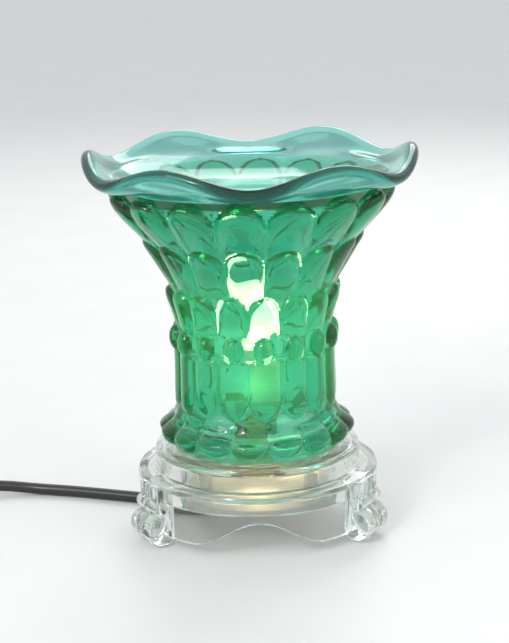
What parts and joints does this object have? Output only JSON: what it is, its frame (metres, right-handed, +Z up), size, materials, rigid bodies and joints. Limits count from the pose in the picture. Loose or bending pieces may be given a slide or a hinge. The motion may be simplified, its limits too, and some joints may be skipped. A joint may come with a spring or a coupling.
{
  "type": "wax melt warmer",
  "caption": "Electric wax melt warmer: ruffled glass dish on a flared pressed-glass shade, clear scroll-footed tripod base, bulb inside, cord with inline dimmer and plug.",
  "frame": {"origin": "on the table below the middle of the lamp, on the lamp's own axis", "axes": "+Z up along the lamp's axis, front towards -Y, the cord leaves at the back on the -X side"},
  "size_m": [0.3287, 0.1468, 0.1714],
  "materials": {
    "dish_glass": "clear glass with a green tint",
    "shade_glass": "pressed glass with a green coating inside",
    "base_clear": "clear moulding",
    "bulb_glass": "clear",
    "filament_metal": "bright",
    "pin_metal": "satin",
    "ceramic": "glazed cream ceramic",
    "plate_metal": "satin",
    "thread_metal": "satin",
    "contact_metal": "bright",
    "cover_plastic": "frosted",
    "rubber_black": "matt",
    "pad_clear": "soft clear",
    "cord_black": "slightly glossy",
    "wire_white": "fibre sleeved",
    "core_brown": "matt",
    "splice_clear": "shrunk sleeve",
    "switch_black": "satin",
    "wheel_grey": "ribbed",
    "board_green": "lacquered",
    "blade_metal": "bright"
  },
  "bodies": {
    "base": {"base": "base_clear", "foot_pads": "pad_clear", "cover_plate": "cover_plastic", "cover_screws": "plate_metal", "cord_grommet": "rubber_black", "threaded_tube": "thread_metal", "tube_nuts": "thread_metal", "tube_washer": "plate_metal", "holder_bracket": "plate_metal", "lamp_holder": "ceramic", "holder_screws": "plate_metal", "holder_contacts": "contact_metal", "lead_wires": "wire_white", "wire_splices": "splice_clear", "cord_cores": "core_brown", "cord": "cord_black", "cord_link": "cord_black", "cord_coil": "cord_black", "coil_tie": "rubber_black", "dimmer_base": "switch_black", "dimmer_cover": "switch_black", "dimmer_circuit": "board_green", "dimmer_screws": "plate_metal", "cord_reliefs": "rubber_black", "plug_body": "rubber_black", "plug_blades": "blade_metal"},
    "shade": {"shade": "shade_glass"},
    "dish": {"dish": "dish_glass"},
    "bulb": {"bulb_envelope": "bulb_glass", "bulb_filament": "filament_metal", "bulb_pins": "pin_metal"},
    "dimmer_wheel": {"dimmer_wheel": "wheel_grey"}
  },
  "joints": [
    {"name": "shade_lift", "type": "slide", "parent": "base", "child": "shade", "axis": [0, 0, 1], "range_m": [0, 0.09]},
    {"name": "dish_lift", "type": "slide", "parent": "shade", "child": "dish", "axis": [0, 0, 1], "range_m": [0, 0.03]},
    {"name": "bulb_pull", "type": "slide", "parent": "base", "child": "bulb", "axis": [0, 0, 1], "range_m": [0, 0.012]},
    {"name": "dimmer_turn", "type": "hinge", "parent": "base", "child": "dimmer_wheel", "pos_m": [-0.18, 0.037, 0], "axis": [0, 0, 1], "range_deg": [0, 270]}
  ]
}
